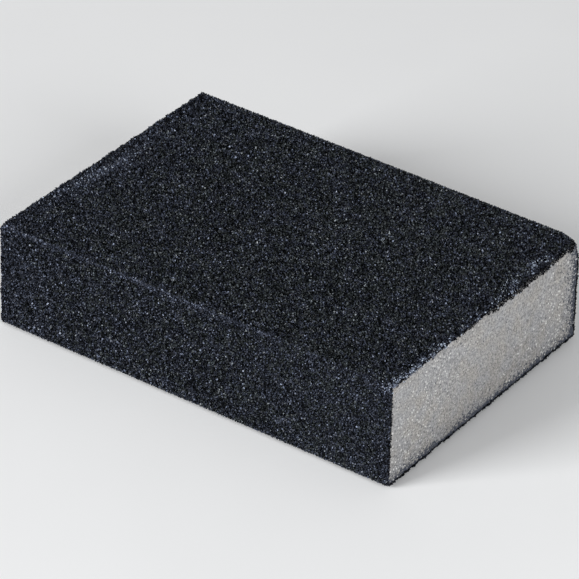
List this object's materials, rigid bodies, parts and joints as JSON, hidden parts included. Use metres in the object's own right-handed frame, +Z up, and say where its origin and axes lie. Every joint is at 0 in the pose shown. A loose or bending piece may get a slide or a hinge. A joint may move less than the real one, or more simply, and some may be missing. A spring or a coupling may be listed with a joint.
{
  "type": "sanding block",
  "caption": "Rectangular flexible foam sanding block with dark abrasive grit on both broad faces and both long sides, and bare light grey foam at its two short ends.",
  "frame": {"origin": "middle of the underside, which is the face the block lies on", "axes": "+X along the length, between the two bare foam ends; +Y across the width, from the front long side to the rear one; +Z up through the height"},
  "size_m": [0.1, 0.07, 0.025],
  "materials": {
    "foam": "light grey open-cell flexible foam, sawn, with fine cells and pale glints",
    "bond_resin": "cured blue-black bonding resin, satin, scuffed to pale blue grey where rubbed",
    "abrasive_grit": "near-black angular mineral grains under a thin resin size coat, with paler blue-grey facets"
  },
  "bodies": {
    "root": {"foam_core": "foam", "make_coat_top": "bond_resin", "make_coat_bottom": "bond_resin", "make_coat_front": "bond_resin", "make_coat_rear": "bond_resin", "grit_top": "abrasive_grit", "grit_bottom": "abrasive_grit", "grit_front": "abrasive_grit", "grit_rear": "abrasive_grit"}
  },
  "joints": []
}
